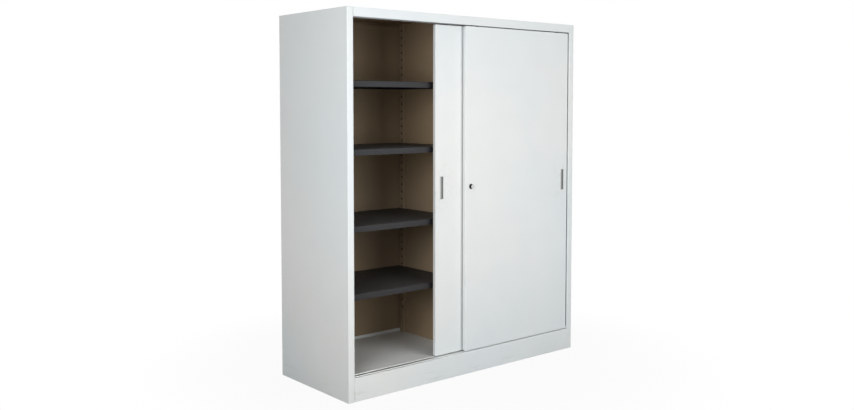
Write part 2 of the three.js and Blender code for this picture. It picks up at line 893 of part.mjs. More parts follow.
// Levelling feet
const foot = levellingFoot();
[['front', footSetback], ['rear', depth - footSetback]].forEach(([row, y]) => {
  [['left', footInset], ['right', width - footInset]].forEach(([column, x]) => {
    place(cabinet, `levelling_foot_${row}_${column}`, foot, zinc(), x, y);
  });
});

// Buffers, one on each jamb in line with the door that closes on it
const bufferShape = buffer();
const bufferOffset = stileWidth + fit + bufferThickness / 2;
const [frontTrack, rearTrack] = trackMiddles;
place(cabinet, 'buffer_left', bufferShape, rubber(), bufferOffset, rearTrack, pullHeight);
place(cabinet, 'buffer_right', bufferShape, rubber(), width - bufferOffset, frontTrack, pullHeight);

// Doors, each a group with its pieces
const guideShape = doorGuide();
const rollerShape = roller();
const axleShape = axle();
const carrierShape = rollerCarrier();
const pullShape = pull();
const stiffenerShape = doorStiffener();
const middleOfDoor = doorThickness / 2;

function door(name, x, recess, pullX, lockPlace) {
  const group = new THREE.Group();
  group.position.set(x, recess, doorBottom);
  cabinet.add(group);
  place(group, `${name}_pan`, doorPan(pullX, lockPlace), paint());
  place(group, `${name}_stiffener`, stiffenerShape, paint(), doorWidth / 2);
  const pullLow = pullHeight - doorBottom - pullLength / 2;
  place(group, `${name}_pull`, pullShape, satinSteel(), pullX - pullWidth / 2, 0, pullLow);
  ['left', 'right'].forEach((end) => {
    const along = (inset) => (end === 'left' ? inset : doorWidth - inset);
    const guideX = along(guideInset);
    const rollerX = along(rollerInset);
    place(group, `${name}_guide_${end}`, guideShape, blackPlastic(), guideX, middleOfDoor, doorHeight + fit);
    place(group, `${name}_carrier_${end}`, carrierShape, nylon(), rollerX);
    place(group, `${name}_axle_${end}`, axleShape, zinc(), rollerX, middleOfDoor, rollerAxis);
    place(group, `${name}_roller_${end}`, rollerShape, nylon(), rollerX, middleOfDoor, rollerAxis);
  });
  return group;
}

const lockLevel = lockHeight - doorBottom;
const lockInset = lockX - frontDoorX;
const rearDoor = door('door_left', rearDoorX, rearDoorRecess, pullInset, []);
const frontDoor = door('door_right', frontDoorX, doorRecess, doorWidth - pullInset, [lockInset]);
place(rearDoor, 'lock_keeper', lockKeeper(), zinc(), lockX - closedRearDoorX, 0, lockLevel);
place(frontDoor, 'lock_housing', lockHousing(), blackPlastic(), lockInset, 0, lockLevel);
place(frontDoor, 'lock_plunger', lockPlunger(), blackPlastic(), lockInset, 0, lockLevel);
place(frontDoor, 'lock_core', lockCore(), chrome(), lockInset, 0, lockLevel);

export default part;
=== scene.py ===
# %% [markdown]
# # A steel cupboard with two sliding doors
#
# The real cupboard is folded from painted sheet steel. Its pieces were modelled at their real size and
# packed, and they arrive here as a fixed frame. Blender gives them their finish, and makes the doors'
# rounded edges and the small round pieces finer than the frame has them.

# %% Load the frame
import json
import math

import bmesh
import bpy
from mathutils import Matrix, Vector


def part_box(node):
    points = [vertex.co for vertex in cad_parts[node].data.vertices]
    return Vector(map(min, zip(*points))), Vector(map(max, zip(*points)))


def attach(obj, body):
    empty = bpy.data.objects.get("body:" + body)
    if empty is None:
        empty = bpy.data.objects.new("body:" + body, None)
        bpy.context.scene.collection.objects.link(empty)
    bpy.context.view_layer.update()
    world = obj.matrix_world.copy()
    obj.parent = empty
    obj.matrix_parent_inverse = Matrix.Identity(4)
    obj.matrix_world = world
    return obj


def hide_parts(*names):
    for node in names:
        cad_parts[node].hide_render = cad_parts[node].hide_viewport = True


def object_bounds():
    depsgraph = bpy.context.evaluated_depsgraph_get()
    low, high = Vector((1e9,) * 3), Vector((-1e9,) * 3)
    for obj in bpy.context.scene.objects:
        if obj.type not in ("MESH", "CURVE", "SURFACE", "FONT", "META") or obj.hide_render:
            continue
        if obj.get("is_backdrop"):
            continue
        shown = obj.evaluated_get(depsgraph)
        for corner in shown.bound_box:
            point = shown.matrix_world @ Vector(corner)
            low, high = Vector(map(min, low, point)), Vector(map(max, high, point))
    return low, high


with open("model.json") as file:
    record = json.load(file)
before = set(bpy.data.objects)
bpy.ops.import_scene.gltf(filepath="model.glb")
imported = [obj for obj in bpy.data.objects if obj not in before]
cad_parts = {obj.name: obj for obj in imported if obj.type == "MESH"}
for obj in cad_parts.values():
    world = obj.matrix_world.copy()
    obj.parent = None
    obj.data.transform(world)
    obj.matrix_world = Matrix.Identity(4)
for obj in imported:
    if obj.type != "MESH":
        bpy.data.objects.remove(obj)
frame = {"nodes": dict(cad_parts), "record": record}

frame_low, frame_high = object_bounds()
nodes = frame["nodes"]
MM = 0.001
print("size in metres", [round(side, 4) for side in frame_high - frame_low])

# %% [markdown]
# ## The camera
#
# In the photo the uprights stay parallel, as with a view camera whose lens is shifted. A full shift
# would push the cupboard out of other views, so half of it is a shift and the other half is a small
# tilt. A camera could be moved until the picture looks right. Here its place, turn and lens were
# solved from six corners of the cupboard instead, which brings each corner to within two pixels.

# %% Camera
eye = Vector((-3.237, -3.8283, 1.4324))
turn_to_right = math.radians(39.747)
tilt_down = math.radians(3.316)
RIGHT_ANGLE = math.radians(90)

camera_data = bpy.data.cameras.new("camera")
camera_data.sensor_width = 36
camera_data.lens = 38.03
camera_data.shift_y = -0.055
camera = bpy.data.objects.new("camera", camera_data)
camera.location = eye
camera.rotation_euler = (RIGHT_ANGLE - tilt_down, 0, -turn_to_right)
bpy.context.scene.collection.objects.link(camera)
bpy.context.scene.camera = camera
print("the camera stands", round(eye.xy.length, 2), "m from the middle of the cupboard")

# %% [markdown]
# ## Helpers for shader nodes
#
# Every finish below is a small tree of nodes. The same trees could be drawn by hand in the shader
# editor. Here one helper makes a node, sets it up and links its inputs, so that a tree reads as a list
# of steps and every number can be seen. A few more helpers name the steps that come back often.

# %% Nodes
MIX_SHARE, MIX_FIRST, MIX_SECOND, MIX_COLOUR = 0, 6, 7, 2


def node(tree, kind, inputs=(), **settings):
    made = tree.nodes.new(kind)
    for name, value in settings.items():
        setattr(made, name, value)
    for socket, value in dict(inputs).items():
        if isinstance(value, bpy.types.NodeSocket):
            tree.links.new(value, made.inputs[socket])
        else:
            made.inputs[socket].default_value = value
    return made


def maths(tree, operation, first, second=0.0):
    return node(tree, "ShaderNodeMath", {0: first, 1: second}, operation=operation).outputs[0]


def mixed(tree, share, first, second, way="MIX"):
    inputs = {MIX_SHARE: share, MIX_FIRST: first, MIX_SECOND: second}
    made = node(tree, "ShaderNodeMix", inputs, data_type="RGBA", blend_type=way)
    return made.outputs[MIX_COLOUR]


def eased(tree, value, start, end, low=0.0, high=1.0):
    inputs = {"Value": value, "From Min": start, "From Max": end, "To Min": low, "To Max": high}
    made = node(tree, "ShaderNodeMapRange", inputs, interpolation_type="SMOOTHSTEP")
    return made.outputs["Result"]


def noise(tree, place, scale, detail=2.0):
    inputs = {"Vector": place, "Scale": scale, "Detail": detail}
    return node(tree, "ShaderNodeTexNoise", inputs).outputs["Fac"]


def on_object(tree):
    return node(tree, "ShaderNodeTexCoord").outputs["Object"]


def swung(tree, value, contrast):
    """A value from 0 to 1 as a swing about zero."""
    return maths(tree, "MULTIPLY", maths(tree, "SUBTRACT", value, 0.5), contrast)


def shaded(tree, base, swing):
    """The colour made lighter or darker by the swing."""
    brightness = maths(tree, "ADD", swing, 1.0)
    grey = node(tree, "ShaderNodeCombineColor", {0: brightness, 1: brightness, 2: brightness})
    return mixed(tree, 1.0, base, grey.outputs[0], "MULTIPLY")


# %% [markdown]
# ## Shared effects as groups
#
# Paint covers most of this cupboard, and dust lies on all of it. Each such effect could be copied into
# every material, but then a change would have to be made many times. A node group is made once and used
# in many materials, each time with its own values. The groups put out colours, masks and heights only,
# and the shader stays in the material.

# %% Helper for groups
SOCKETS = {"float": "NodeSocketFloat", "colour": "NodeSocketColor"}


def group(name, inputs, outputs):
    tree = bpy.data.node_groups.new(name, "ShaderNodeTree")
    for label, value in inputs.items():
        kind = "colour" if isinstance(value, tuple) else "float"
        socket = tree.interface.new_socket(label, in_out="INPUT", socket_type=SOCKETS[kind])
        socket.default_value = value
    for label, kind in outputs.items():
        tree.interface.new_socket(label, in_out="OUTPUT", socket_type=SOCKETS[kind])
    entry = tree.nodes.new("NodeGroupInput").outputs
    end = tree.nodes.new("NodeGroupOutput").inputs
    return tree, entry, end


WHITE = (1.0, 1.0, 1.0, 1.0)

# %% [markdown]
# ### Powder coat
#
# Powder paint melts into a skin with a faint ripple, which is called orange peel. The ripple bends
# reflections a little, the gloss changes slowly from place to place, and so does the shade. A picture
# of real paint would show seams and repeats on panels this large. Noise in the object's own metres has
# neither, and a ripple keeps its real size on every panel.

# %% Powder coat
DRIFT = 1.1
COOL_BAND = (0.35, 0.65)
PATCHES = 7.0
RIPPLES = 260.0
PORES = 1500.0
PORE_DEPTH = 0.3

powder_coat, entry, end = group(
    "powder coat",
    {"Colour": WHITE, "Cool colour": WHITE, "Contrast": 0.05, "Roughness": 0.4},
    {"Colour": "colour", "Roughness": "float", "Height": "float"},
)
place = on_object(powder_coat)
cool_share = eased(powder_coat, noise(powder_coat, place, DRIFT, 3.0), *COOL_BAND)
tinted = mixed(powder_coat, cool_share, entry["Colour"], entry["Cool colour"])
swing = swung(powder_coat, noise(powder_coat, place, PATCHES, 4.0), entry["Contrast"])
pores = maths(powder_coat, "MULTIPLY", noise(powder_coat, place, PORES, 1.0), PORE_DEPTH)
height = maths(powder_coat, "ADD", noise(powder_coat, place, RIPPLES, 1.0), pores)
powder_coat.links.new(shaded(powder_coat, tinted, swing), end["Colour"])
powder_coat.links.new(maths(powder_coat, "ADD", entry["Roughness"], swing), end["Roughness"])
powder_coat.links.new(height, end["Height"])
print("powder coat:", len(powder_coat.nodes), "nodes")

# %% [markdown]
# ### Dust, hands and shoes
#
# A little dust lies on what faces up. Hands leave a dull patch round a pull, and shoes leave long
# rub marks low down. These could be painted onto each piece by hand. A mask that comes from the
# surface's direction or its place puts them where they belong on any piece, without painting. Dust and
# hands put out their mask too, so that a material can change the gloss there.

# %% Dust
DUST_CLOUDS = 14.0
FACES_UP = (0.7, 1.0)

settled_dust, entry, end = group(
    "settled dust",
    {"Colour": WHITE, "Dust": WHITE, "Amount": 0.2},
    {"Colour": "colour", "Mask": "float"},
)
facing = node(settled_dust, "ShaderNodeNewGeometry").outputs["Normal"]
up = node(settled_dust, "ShaderNodeSeparateXYZ", {0: facing}).outputs["Z"]
clouds = noise(settled_dust, on_object(settled_dust), DUST_CLOUDS, 5.0)
lying = maths(settled_dust, "MULTIPLY", eased(settled_dust, up, *FACES_UP), clouds)
mask = maths(settled_dust, "MULTIPLY", lying, entry["Amount"])
settled_dust.links.new(mixed(settled_dust, mask, entry["Colour"], entry["Dust"]), end["Colour"])
settled_dust.links.new(mask, end["Mask"])

# %% Hands
REACH = 0.13
TALLER = 0.6
SMEARS = 38.0
SMEAR_BAND = (0.4, 0.75)
HAND_STRENGTH = 0.3

handled, entry, end = group(
    "handled",
    {"Colour": WHITE, "Mark": WHITE, "Across": 0.0, "Up": 1.0},
    {"Colour": "colour", "Mask": "float"},
)
place = on_object(handled)
where = node(handled, "ShaderNodeSeparateXYZ", {0: place}).outputs
across = maths(handled, "SUBTRACT", where["X"], entry["Across"])
above = maths(handled, "MULTIPLY", maths(handled, "SUBTRACT", where["Z"], entry["Up"]), TALLER)
flat = node(handled, "ShaderNodeCombineXYZ", {0: across, 2: above}).outputs[0]
distance = node(handled, "ShaderNodeVectorMath", {0: flat}, operation="LENGTH").outputs["Value"]
near = eased(handled, distance, 0.0, REACH, 1.0, 0.0)
smears = eased(handled, noise(handled, place, SMEARS, 4.0), *SMEAR_BAND)
mask = maths(handled, "MULTIPLY", maths(handled, "MULTIPLY", near, smears), HAND_STRENGTH)
handled.links.new(mixed(handled, mask, entry["Colour"], entry["Mark"]), end["Colour"])
handled.links.new(mask, end["Mask"])

# %% Shoes
MARK_HEIGHTS = (0.01, 0.13)
MARK_SCALE = (6, 6, 60)
STREAK_BAND = (0.58, 0.72)
MARK_STRENGTH = 0.15

rub_marks, entry, end = group("rub marks", {"Colour": WHITE, "Mark": WHITE}, {"Colour": "colour"})
place = on_object(rub_marks)
height = node(rub_marks, "ShaderNodeSeparateXYZ", {0: place}).outputs["Z"]
low = eased(rub_marks, height, *MARK_HEIGHTS, 1.0, 0.0)
long_marks = node(rub_marks, "ShaderNodeMapping", {"Vector": place, "Scale": MARK_SCALE}).outputs[0]
streaks = eased(rub_marks, noise(rub_marks, long_marks, 1.0, 5.0), *STREAK_BAND)
mask = maths(rub_marks, "MULTIPLY", maths(rub_marks, "MULTIPLY", low, streaks), MARK_STRENGTH)
rub_marks.links.new(mixed(rub_marks, mask, entry["Colour"], entry["Mark"]), end["Colour"])
wear_nodes = [len(wear.nodes) for wear in (settled_dust, handled, rub_marks)]
print("dust, hands and shoes:", wear_nodes, "nodes")

# %% [markdown]
# ### Inside and outside
#
# In the photo the cupboard is brown inside, also on the ceiling, while the same sheets are pale
# outside. Each face could get a material of its own, but the frame's meshes stay as they came, so masks
# find the inside from a surface's place and direction. One mask is 1 where a surface behind the doors
# faces down, to the front or towards the middle. The other is 1 where hardly any light reaches in the
# photo: on the jambs beside the doors, and on the sheets behind the uprights, which show through the
# slots as dark dots.
# Where that second mask is 1, near black is mixed in as painted shade.

# %% Inside
BEHIND_DOORS = -0.24
BESIDE_DOOR = -0.3012
ABOVE_FLOOR = 0.134
BEHIND_UPRIGHTS = ((-0.242, -0.206), (0.246, 0.282))
MIDDLE_OF_BAY = 0.4
FACING_LIMIT = -0.5

inside, entry, end = group("inside", {}, {"Mask": "float", "Dark": "float"})
geometry = node(inside, "ShaderNodeNewGeometry").outputs
facing = node(inside, "ShaderNodeSeparateXYZ", {0: geometry["Normal"]}).outputs
where = node(inside, "ShaderNodeSeparateXYZ", {0: on_object(inside)}).outputs
towards_middle = maths(inside, "MULTIPLY", facing["X"], maths(inside, "SIGN", where["X"]))
down_or_front = maths(inside, "MINIMUM", facing["Y"], facing["Z"])
facing_most = maths(inside, "MINIMUM", down_or_front, towards_middle)
inwards = maths(inside, "LESS_THAN", facing_most, FACING_LIMIT)
behind = maths(inside, "GREATER_THAN", where["Y"], BEHIND_DOORS)
above = maths(inside, "GREATER_THAN", where["Z"], ABOVE_FLOOR)
inner = maths(inside, "MULTIPLY", maths(inside, "MULTIPLY", inwards, behind), above)
inside.links.new(inner, end["Mask"])
# The second mask marks where shade is painted: faces towards the bay beside the doors and behind the
# uprights.
outwards = maths(inside, "SUBTRACT", maths(inside, "ABSOLUTE", where["X"]), MIDDLE_OF_BAY)
towards_bay = maths(inside, "MULTIPLY", towards_middle, maths(inside, "SIGN", outwards))
sideways = maths(inside, "LESS_THAN", towards_bay, FACING_LIMIT)
beside = maths(inside, "GREATER_THAN", where["Y"], BESIDE_DOOR)
dark = maths(inside, "SUBTRACT", beside, behind)
for start, stop in BEHIND_UPRIGHTS:
    after = maths(inside, "GREATER_THAN", where["Y"], start)
    before = maths(inside, "LESS_THAN", where["Y"], stop)
    dark = maths(inside, "MAXIMUM", dark, maths(inside, "MULTIPLY", after, before))
dark = maths(inside, "MULTIPLY", maths(inside, "MULTIPLY", sideways, dark), above)
inside.links.new(dark, end["Dark"])
print("inside:", len(inside.nodes), "nodes")

# %% [markdown]
# ### Drawn metal
#
# Extruded aluminium and brushed steel carry fine parallel lines. The shader's anisotropic input could
# stretch the reflections alone, but close by the lines themselves can be seen. Noise that is squeezed
# along two axes and stretched along the third makes them, along the length of any piece.

# %% Drawn metal
drawn_metal, entry, end = group(
    "drawn metal",
    {"Colour": WHITE, "X scale": 1.0, "Y scale": 1.0, "Z scale": 1.0}
    | {"Contrast": 0.1, "Roughness": 0.3},
    {"Colour": "colour", "Roughness": "float", "Height": "float"},
)
squeeze_inputs = {0: entry["X scale"], 1: entry["Y scale"], 2: entry["Z scale"]}
squeeze = node(drawn_metal, "ShaderNodeCombineXYZ", squeeze_inputs).outputs[0]
squeezed_inputs = {0: on_object(drawn_metal), 1: squeeze}
squeezed = node(drawn_metal, "ShaderNodeVectorMath", squeezed_inputs, operation="MULTIPLY").outputs[0]
lines = noise(drawn_metal, squeezed, 1.0, 3.0)
swing = swung(drawn_metal, lines, entry["Contrast"])
drawn_metal.links.new(shaded(drawn_metal, entry["Colour"], swing), end["Colour"])
drawn_metal.links.new(maths(drawn_metal, "ADD", entry["Roughness"], swing), end["Roughness"])
drawn_metal.links.new(lines, end["Height"])
print("drawn metal:", len(drawn_metal.nodes), "nodes")

# %% [markdown]
# ### Zinc bloom
#
# Bright zinc plating shows small crystals, each at its own angle to the light. Noise alone would blur
# from one shade to the next. Voronoi cells have edges, so they give each crystal its own shade and
# gloss, and slow noise clouds them where the zinc has dulled.

# %% Zinc bloom
CRYSTALS = 420.0
DULL_CLOUDS = 60.0

zinc_bloom, entry, end = group(
    "zinc bloom",
    {"Colour": WHITE, "Contrast": 0.2, "Roughness": 0.35},
    {"Colour": "colour", "Roughness": "float", "Height": "float"},
)
place = on_object(zinc_bloom)
cells = node(zinc_bloom, "ShaderNodeTexVoronoi", {"Vector": place, "Scale": CRYSTALS}).outputs
crystal = node(zinc_bloom, "ShaderNodeSeparateColor", {0: cells["Color"]}).outputs[0]
clouds = noise(zinc_bloom, place, DULL_CLOUDS, 4.0)
bloom = maths(zinc_bloom, "MULTIPLY", maths(zinc_bloom, "ADD", crystal, clouds), 0.5)
swing = swung(zinc_bloom, bloom, entry["Contrast"])
zinc_bloom.links.new(shaded(zinc_bloom, entry["Colour"], swing), end["Colour"])
zinc_bloom.links.new(maths(zinc_bloom, "ADD", entry["Roughness"], swing), end["Roughness"])
zinc_bloom.links.new(clouds, end["Height"])
print("zinc bloom:", len(zinc_bloom.nodes), "nodes")

# %% [markdown]
# ### Moulded grain
#
# Plastic and rubber copy the fine grain of their mould. The grain is far too fine to model, so small
# cells raise it as a bump, and slow noise gives the faint flow marks in its colour.

# %% Moulded grain
GRAINS = 1800.0
FLOW_MARKS = 45.0

moulded_grain, entry, end = group(
    "moulded grain",
    {"Colour": WHITE, "Contrast": 0.1, "Roughness": 0.5},
    {"Colour": "colour", "Roughness": "float", "Height": "float"},
)
place = on_object(moulded_grain)
cells = node(moulded_grain, "ShaderNodeTexVoronoi", {"Vector": place, "Scale": GRAINS}).outputs
swing = swung(moulded_grain, noise(moulded_grain, place, FLOW_MARKS, 3.0), entry["Contrast"])
moulded_grain.links.new(shaded(moulded_grain, entry["Colour"], swing), end["Colour"])
moulded_grain.links.new(maths(moulded_grain, "ADD", entry["Roughness"], swing), end["Roughness"])
moulded_grain.links.new(cells["Distance"], end["Height"])
print("moulded grain:", len(moulded_grain.nodes), "nodes")

# %% [markdown]
# ## Finishes
#
# Every finish ends in the same way: a bump from its group's height, and one Principled shader. Paint,
# metal and plastic could each have a shader of their own kind, but the Principled one covers them all
# with a few numbers. Colours are written as they look on screen, from 0 to 255.

# %% Helpers for finishes
BUMP_STRENGTH = 0.5


def colour(red, green, blue):
    shares = [value / 255 for value in (red, green, blue)]
    light = [s / 12.92 if s <= 0.04045 else ((s + 0.055) / 1.055) ** 2.4 for s in shares]
    return (*light, 1.0)


def finish(name, shared, values):
    material = bpy.data.materials.new(name)
    material.use_nodes = True
    material.node_tree.nodes.clear()
    tree = material.node_tree
    return material, tree, node(tree, "ShaderNodeGroup", values, node_tree=shared).outputs


def surface(tree, base, roughness, height, relief, metallic=0.0, shine=0.5):
    """The end of a finish. Relief is the bump's height in metres."""
    bump_inputs = {"Height": height, "Distance": relief, "Strength": BUMP_STRENGTH}
    bump = node(tree, "ShaderNodeBump", bump_inputs).outputs[0]
    inputs = {
        "Base Color": base,
        "Roughness": roughness,
        "Metallic": metallic,
        "Specular IOR Level": shine,
        "Normal": bump,
    }
    shader = node(tree, "ShaderNodeBsdfPrincipled", inputs)
    node(tree, "ShaderNodeOutputMaterial", {"Surface": shader.outputs[0]})


# %% [markdown]
# ### Paint
#
# The carcass is the plainest case: powder coat with some dust on it, and rub marks near the floor. The
# doors add the dull patch that hands leave round a pull. The sheets that are seen from both sides add a
# brown colour on their inner faces, and painted shade on the jambs and on the sheets behind the
# uprights. One function makes all the paints, because a maker would use one kind of powder too.

# %% Paint
DUST = colour(198, 194, 186)
RUBBED = colour(150, 148, 142)
# UNLIT is painted shade: near black for sheets that hardly any light reaches.
UNLIT = colour(34, 32, 30)
GREASE = colour(196, 194, 186)
ORANGE_PEEL = 0.00025
DUST_DULLS = 0.4
HANDS_DULL = 0.3


def painted(name, warm, cool, roughness, dust, shine=0.5, hand=None, lining_and_shade=None):
    coat_values = {"Colour": warm, "Cool colour": cool, "Roughness": roughness}
    material, tree, coat = finish(name, powder_coat, coat_values)
    paint = coat["Colour"]
    if lining_and_shade:
        inner = node(tree, "ShaderNodeGroup", node_tree=inside).outputs
        paint = mixed(tree, inner["Mask"], paint, lining_and_shade)
        # Painted shade: near black on the jambs and on the sheets behind the uprights.
        paint = mixed(tree, inner["Dark"], paint, UNLIT)
    dust_values = {"Colour": paint, "Dust": DUST, "Amount": dust}
    dusted = node(tree, "ShaderNodeGroup", dust_values, node_tree=settled_dust).outputs
    rub_values = {"Colour": dusted["Colour"], "Mark": RUBBED}
    rubbed = node(tree, "ShaderNodeGroup", rub_values, node_tree=rub_marks).outputs
    base = rubbed["Colour"]
    dull = maths(tree, "MULTIPLY", dusted["Mask"], DUST_DULLS)
    if hand:
        hand_values = {"Colour": base, "Mark": GREASE, "Across": hand[0], "Up": hand[1]}
        held = node(tree, "ShaderNodeGroup", hand_values, node_tree=handled).outputs
        base = held["Colour"]
        dull = maths(tree, "ADD", dull, maths(tree, "MULTIPLY", held["Mask"], HANDS_DULL))
    roughness = maths(tree, "ADD", coat["Roughness"], dull)
    surface(tree, base, roughness, coat["Height"], ORANGE_PEEL, shine=shine)
    return material


def middle(name):
    """The middle of a frame piece, in metres."""
    low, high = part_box(name)
    return (low + high) / 2


PALE_WARM = colour(226, 228, 227)
PALE_COOL = colour(220, 226, 228)
BROWN = colour(156, 136, 110)
BROWN_COOL = colour(148, 132, 112)
DARK_WARM = colour(38, 36, 38)
DARK_COOL = colour(33, 34, 37)
finishes = {
    "carcass_paint": painted("carcass paint", PALE_WARM, PALE_COOL, 0.42, 0.35, lining_and_shade=BROWN),
    "inner_paint": painted("inner paint", BROWN, BROWN_COOL, 0.55, 0.15, 0.3),
    "dark_paint": painted("dark paint", DARK_WARM, DARK_COOL, 0.55, 0.1, 0.3),
}
door_paint = {}
for door in ("door_left", "door_right"):
    hand = middle(door + "_pull")
    name = door.replace("_", " ") + " paint"
    door_paint[door] = painted(name, PALE_WARM, PALE_COOL, 0.38, 0.2, hand=(hand.x, hand.z))
# The partition has a paint of its own so that the painted shade behind the uprights lies on it and not
# on the uprights.
partition_paint = painted("partition paint", BROWN, BROWN_COOL, 0.55, 0.15, 0.3, lining_and_shade=BROWN)
print("paints:", len(finishes) + len(door_paint) + 1)

# %% [markdown]
# ### Metals and plastics
#
# The track is drawn through a die, so its lines run along X. The pulls are brushed along their length,
# so theirs run along Z. Axles and feet are zinc plated, rollers and lock are moulded. All of these end
# alike, so one function turns a group's outputs into a finish, and three short ones name the kinds.

# %% Metals and plastics
ALONG = 5.0
ACROSS = 1500.0


def from_group(name, shared, values, relief, metallic, shine=0.5):
    material, tree, made = finish(name, shared, values)
    surface(tree, made["Colour"], made["Roughness"], made["Height"], relief, metallic, shine)
    return material


def drawn(name, shade, scales, contrast, roughness, relief):
    values = {"Colour": shade, "Contrast": contrast, "Roughness": roughness}
    values |= dict(zip(("X scale", "Y scale", "Z scale"), scales))
    return from_group(name, drawn_metal, values, relief, 1.0)


def plated(name, shade, contrast, roughness, relief):
    values = {"Colour": shade, "Contrast": contrast, "Roughness": roughness}
    return from_group(name, zinc_bloom, values, relief, 1.0)


def moulded(name, shade, contrast, roughness, relief, shine=0.5):
    values = {"Colour": shade, "Contrast": contrast, "Roughness": roughness}
    return from_group(name, moulded_grain, values, relief, 0.0, shine)


along_x = (ALONG, ACROSS, ACROSS)
along_z = (ACROSS, ACROSS, ALONG)
finishes |= {
    "aluminium": drawn("aluminium", colour(214, 216, 214), along_x, 0.22, 0.34, 0.00008),
    "satin_steel": drawn("satin steel", colour(176, 178, 176), along_z, 0.25, 0.36, 0.00006),
    "chrome": drawn("chrome", colour(226, 226, 224), along_z, 0.05, 0.12, 0.00002),
    "zinc_plated_steel": plated("zinc plated steel", colour(190, 193, 196), 0.25, 0.36, 0.00005),
    "nylon": moulded("nylon", colour(226, 223, 212), 0.08, 0.5, 0.00006),
    "black_plastic": moulded("black plastic", colour(20, 20, 21), 0.15, 0.5, 0.00006, 0.3),
    "rubber": moulded("rubber", colour(44, 43, 42), 0.2, 0.75, 0.0001),
}
print("finishes:", ", ".join(sorted(finishes)))

# %% [markdown]
# ## Folded edges that catch the light
#
# Sheet steel is bent round a radius, and a bend carries one soft highlight. The frame's folds are made
# of flat strips, which would each flash on their own. More strips would need other meshes, and the
# frame's stay as they are. So a modifier joins the strips and shades every edge smooth that turns by
# less than 50 degrees, and a second one keeps the large faces flat.

# %% Smooth folds
LARGEST_SOFT_EDGE = math.radians(50)
JOINED_WITHIN = 0.00001

smooth_folds = bpy.data.node_groups.new("smooth folds", "GeometryNodeTree")
smooth_folds.interface.new_socket("Geometry", in_out="INPUT", socket_type="NodeSocketGeometry")
smooth_folds.interface.new_socket("Geometry", in_out="OUTPUT", socket_type="NodeSocketGeometry")
start = smooth_folds.nodes.new("NodeGroupInput").outputs[0]
merge_inputs = {"Geometry": start, "Distance": JOINED_WITHIN}
shape = node(smooth_folds, "GeometryNodeMergeByDistance", merge_inputs).outputs[0]
for stored in ("custom_normal", "sharp_face", "sharp_edge"):
    removal = {"Geometry": shape, "Name": stored}
    shape = node(smooth_folds, "GeometryNodeRemoveAttribute", removal).outputs[0]
edge_angle = node(smooth_folds, "GeometryNodeInputMeshEdgeAngle").outputs[0]
turns = {0: edge_angle, 1: LARGEST_SOFT_EDGE}
soft = node(smooth_folds, "FunctionNodeCompare", turns, operation="LESS_THAN").outputs[0]
soft_inputs = {"Geometry": shape, "Shade Smooth": soft}
soft_edges = node(smooth_folds, "GeometryNodeSetShadeSmooth", soft_inputs, domain="EDGE").outputs[0]
soft_faces = node(smooth_folds, "GeometryNodeSetShadeSmooth", {"Geometry": soft_edges}, domain="FACE")
node(smooth_folds, "NodeGroupOutput", {0: soft_faces.outputs[0]})


def catch_light(piece, from_frame):
    if from_frame:
        piece.modifiers.new("smooth folds", "NODES").node_group = smooth_folds
    weighted = piece.modifiers.new("flat faces stay flat", "WEIGHTED_NORMAL")
    weighted.keep_sharp = True


for subpart in frame["record"]["subparts"]:
    piece = nodes[subpart["node"]]
    piece.data.materials.clear()
    piece.data.materials.append(finishes[subpart["material_slot"]])
    catch_light(piece, True)
nodes["centre_partition"].data.materials[0] = partition_paint
print("pieces from the frame:", len(nodes))

# %% [markdown]
# ## Finer pieces
#
# Doors, pulls, lock, rollers and feet have small curves that show from close by, so these pieces are
# made again with finer ones. A bevel or a subdivision could round the frame's pieces, but neither gives
# exact radii. Here a skin is drawn over rings of points instead. A ring can be a circle, for turned
# pieces, or a rectangle with round corners, for the doors and their pulls. Lengths are in millimetres.

# %% Helpers for finer pieces
CORNER_STEPS = 8
ROUND_STEPS = 64
MOST_OF_HALF = 0.45
SHARP = math.radians(40)


def quarter(steps):
    return [RIGHT_ANGLE * step / steps for step in range(steps + 1)]


def rectangle(low, high, inset, corner, y):
    """One ring in the XZ plane, drawn in by inset and with round corners."""
    left, right = low.x + inset + corner, high.x - inset - corner
    bottom, top = low.z + inset + corner, high.z - inset - corner
    centres = ((right, top), (left, top), (left, bottom), (right, bottom))
    ring = []
    for turn, (x, z) in enumerate(centres):
        for angle in quarter(CORNER_STEPS):
            around = angle + turn * RIGHT_ANGLE
            ring.append(Vector((x + corner * math.cos(around), y, z + corner * math.sin(around))))
    return ring


def circle(radius, along):
    angles = [2 * math.pi * step / ROUND_STEPS for step in range(ROUND_STEPS)]
    return [Vector((radius * math.cos(angle), radius * math.sin(angle), along)) for angle in angles]


def filleted(profile, radius, closed=False, steps=4):
    """The profile with a small curve in place of each corner, within half of each side."""
    points = [Vector(point) for point in profile]
    curved = []
    for index, corner in enumerate(points):
        if not closed and index in (0, len(points) - 1):
            curved.append(corner)
            continue
        before = points[index - 1] - corner
        after = points[(index + 1) % len(points)] - corner
        start = corner + before.normalized() * min(radius, before.length * MOST_OF_HALF)
        stop = corner + after.normalized() * min(radius, after.length * MOST_OF_HALF)
        for step in range(steps + 1):
            share = step / steps
            curved.append(start.lerp(corner, share).lerp(corner.lerp(stop, share), share))
    return curved


def add_skin(body, rings, hollow=False):
    """Faces between rings. A hollow skin meets its own start. Any other skin gets end faces."""
    loops = [[body.verts.new(point * MM) for point in ring] for ring in rings]
    pairs = list(zip(loops, loops[1:]))
    if hollow:
        pairs.append((loops[-1], loops[0]))
    else:
        body.faces.new(loops[0])
        body.faces.new(loops[-1])
    for low, high in pairs:
        for here in range(len(low)):
            beside = (here + 1) % len(low)
            body.faces.new((low[here], low[beside], high[beside], high[here]))


